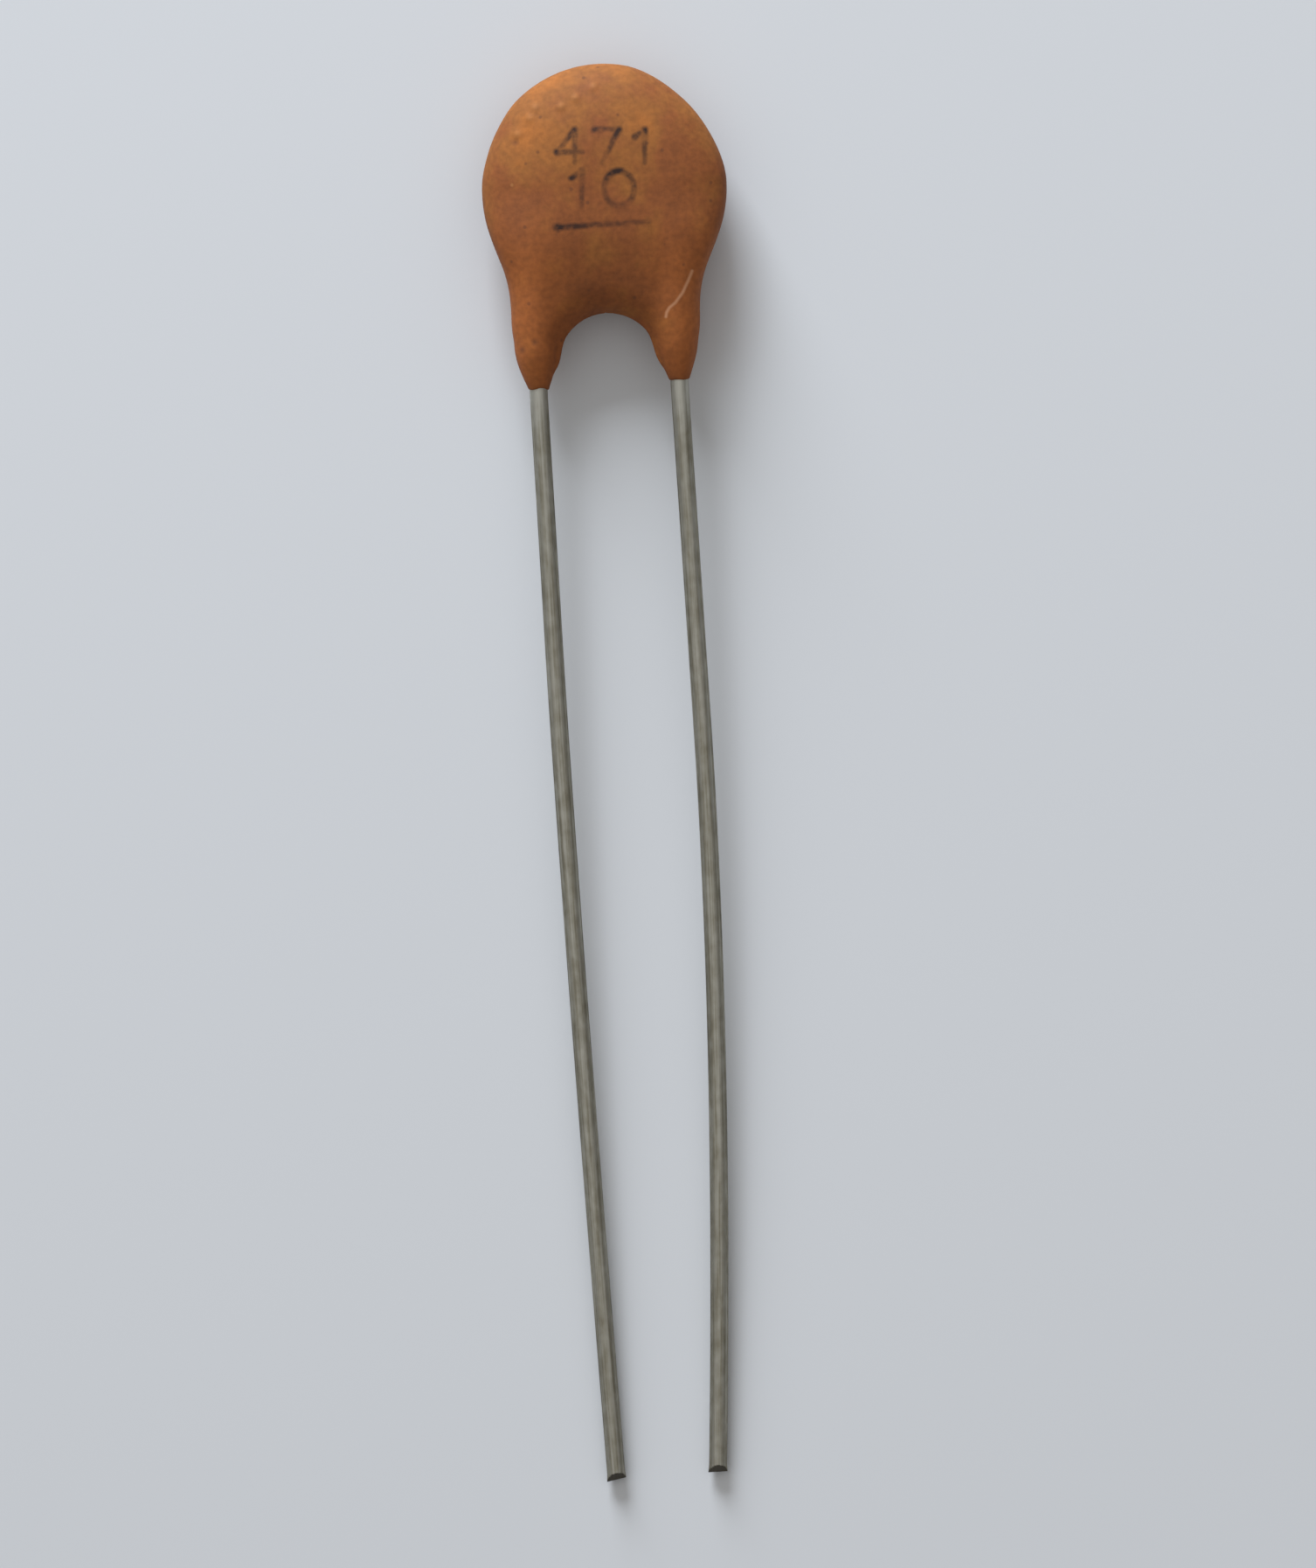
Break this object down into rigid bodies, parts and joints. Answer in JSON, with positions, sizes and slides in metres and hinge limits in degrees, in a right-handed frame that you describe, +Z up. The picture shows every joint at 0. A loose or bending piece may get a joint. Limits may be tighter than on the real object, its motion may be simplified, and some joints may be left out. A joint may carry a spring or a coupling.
{
  "type": "ceramic capacitor",
  "caption": "Dipped disc capacitor: a round resin-coated ceramic disc with long, gently bent wire leads for through-hole soldering.",
  "frame": {"origin": "centre of the flat spot under the coated disc, where it rests on the table", "axes": "+Z up out of the disc's face along its axis, +Y from the cut lead ends towards the disc, +X to the right with the leads towards the viewer"},
  "size_m": [0.0088, 0.0504, 0.0032],
  "materials": {
    "coating": "dipped and cured resin, satin",
    "dielectric_disc": "fired, unglazed",
    "front_electrode": "fired silver, matt",
    "rear_electrode": "fired silver, matt",
    "front_solder": "reflowed solder",
    "rear_solder": "reflowed solder",
    "left_lead": "drawn and tinned, dulled",
    "right_lead": "drawn and tinned, dulled"
  },
  "bodies": {
    "root": {"coating": "coating", "dielectric_disc": "dielectric_disc", "front_electrode": "front_electrode", "rear_electrode": "rear_electrode", "front_solder": "front_solder", "rear_solder": "rear_solder", "left_lead": "left_lead", "right_lead": "right_lead"}
  },
  "joints": []
}
